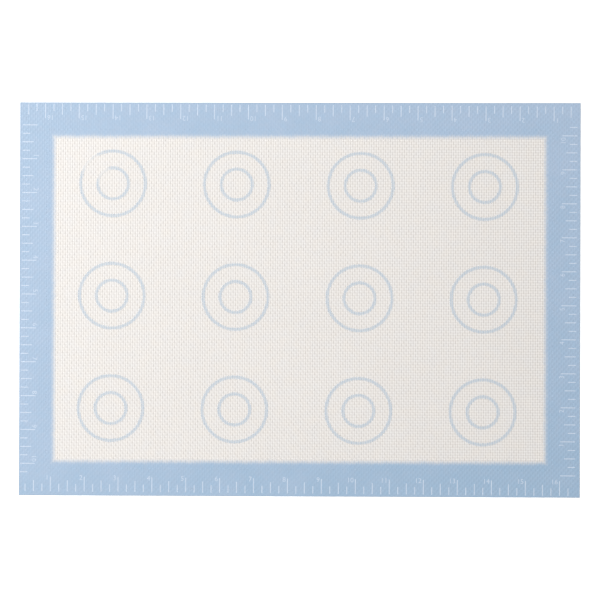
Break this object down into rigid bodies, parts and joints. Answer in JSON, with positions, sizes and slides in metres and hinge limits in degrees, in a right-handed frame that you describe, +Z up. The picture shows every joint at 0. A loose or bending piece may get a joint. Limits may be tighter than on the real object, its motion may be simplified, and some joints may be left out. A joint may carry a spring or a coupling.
{
  "type": "baking mat",
  "caption": "Flat flexible baking mat of silicone-coated glass cloth with sealed edges, a printed inch ruler border and printed double rings for placing dough.",
  "frame": {"origin": "middle of the underside, on the surface that the mat lies on", "axes": "+X along the long side, +Y towards the back edge, which is at the top of the picture, +Z up through the printed face"},
  "size_m": [0.42, 0.295, 0.0008],
  "materials": {
    "silicone": "satin, woven relief",
    "glass_cloth": "woven glass fibre",
    "blue_print": "satin print",
    "ring_print": "satin print",
    "edge_seal": "satin"
  },
  "bodies": {
    "root": {"base_coat": "silicone", "border_frame": "blue_print", "edge_seal_back": "edge_seal", "edge_seal_front": "edge_seal", "edge_seal_left": "edge_seal", "edge_seal_right": "edge_seal", "glass_cloth": "glass_cloth", "ring_inner_1": "ring_print", "ring_inner_10": "ring_print", "ring_inner_11": "ring_print", "ring_inner_12": "ring_print", "ring_inner_2": "ring_print", "ring_inner_3": "ring_print", "ring_inner_4": "ring_print", "ring_inner_5": "ring_print", "ring_inner_6": "ring_print", "ring_inner_7": "ring_print", "ring_inner_8": "ring_print", "ring_inner_9": "ring_print", "ring_outer_1": "ring_print", "ring_outer_10": "ring_print", "ring_outer_11": "ring_print", "ring_outer_12": "ring_print", "ring_outer_2": "ring_print", "ring_outer_3": "ring_print", "ring_outer_4": "ring_print", "ring_outer_5": "ring_print", "ring_outer_6": "ring_print", "ring_outer_7": "ring_print", "ring_outer_8": "ring_print", "ring_outer_9": "ring_print", "top_coat": "silicone"}
  },
  "joints": []
}
